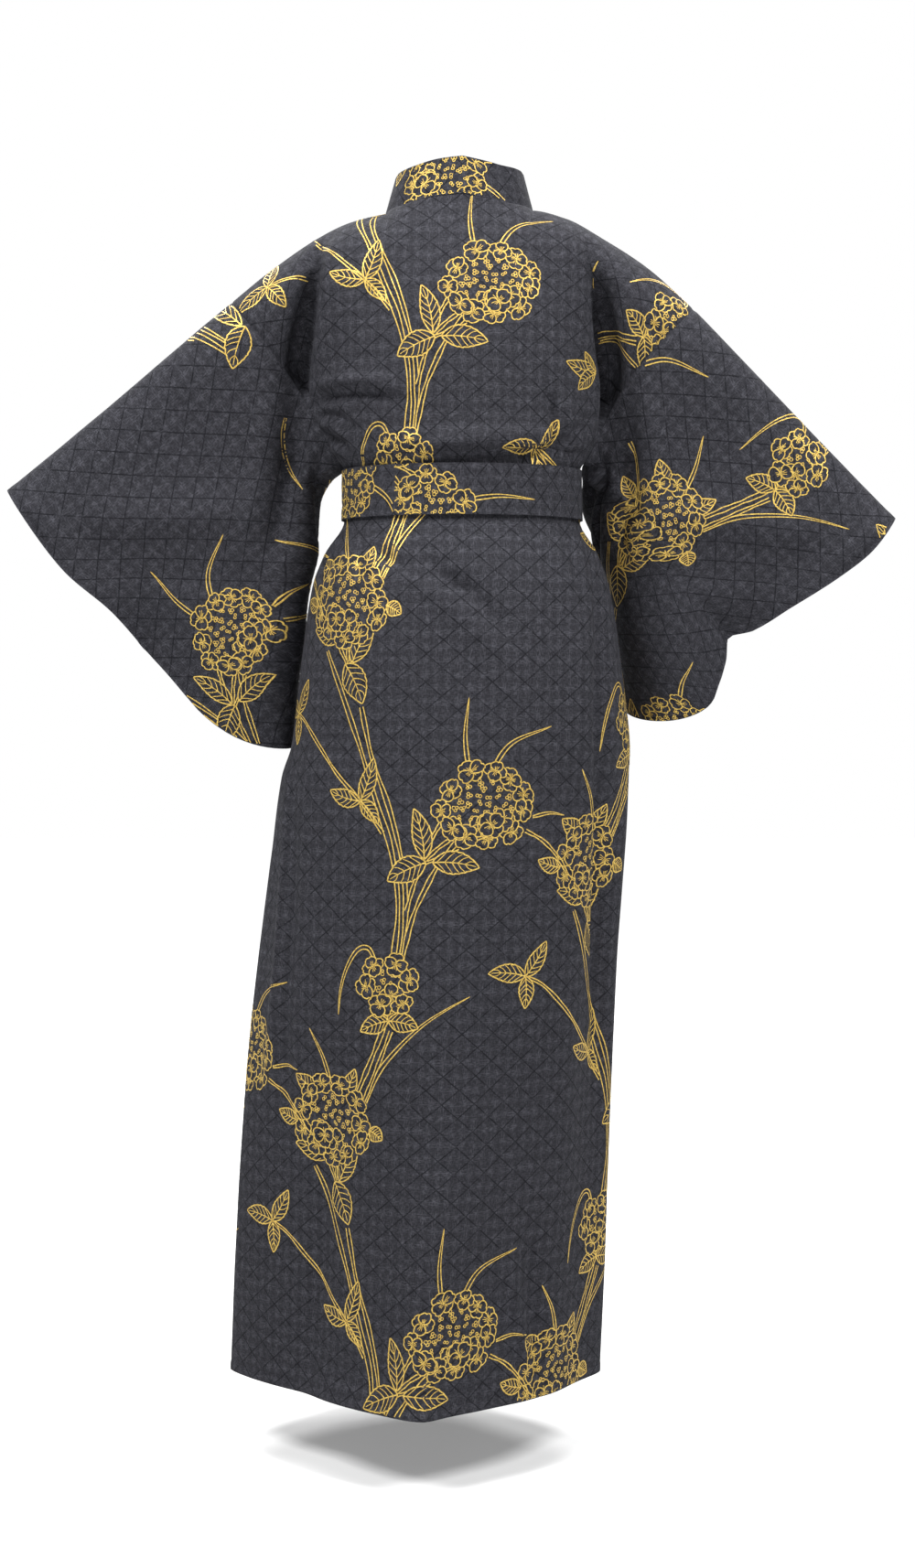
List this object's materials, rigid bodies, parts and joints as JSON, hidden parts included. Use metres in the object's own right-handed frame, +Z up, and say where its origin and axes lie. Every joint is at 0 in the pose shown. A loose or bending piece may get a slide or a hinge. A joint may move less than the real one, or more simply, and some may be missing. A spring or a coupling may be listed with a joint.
{
  "type": "cotton yukata robe",
  "caption": "Unlined cotton summer robe in its worn, hollow form, with wide hanging sleeves, a band collar and its own narrow belt.",
  "frame": {"origin": "middle of the neck hole at the height of the nape, where the wearer's shoulders hold the robe", "axes": "+Z up; the front of the robe faces -Y, its back +Y; +X is the wearer's left"},
  "size_m": [1.0871, 0.4399, 1.4681],
  "materials": {
    "cotton": "matt printed cotton, dark charcoal navy with a fine check weave, a diamond lattice and gold line flowers",
    "band_cotton": "the same matt printed cotton, doubled, on the collar band and the belt",
    "gold_print": "flat gold pigment printed on the cotton, a little lustrous"
  },
  "bodies": {
    "root": {"back_above_belt": "cotton", "back_below_belt": "cotton", "front_left_above_belt": "cotton", "front_left_below_belt": "cotton", "front_right_above_belt": "cotton", "front_right_below_belt": "cotton", "okumi_left": "cotton", "okumi_right": "cotton", "sleeve_left_back": "cotton", "sleeve_left_front": "cotton", "sleeve_right_back": "cotton", "sleeve_right_front": "cotton", "collar": "band_cotton", "belt_long": "band_cotton", "belt_short": "band_cotton", "belt_knot": "band_cotton", "belt_end_left": "band_cotton", "belt_end_right": "band_cotton"}
  },
  "joints": []
}
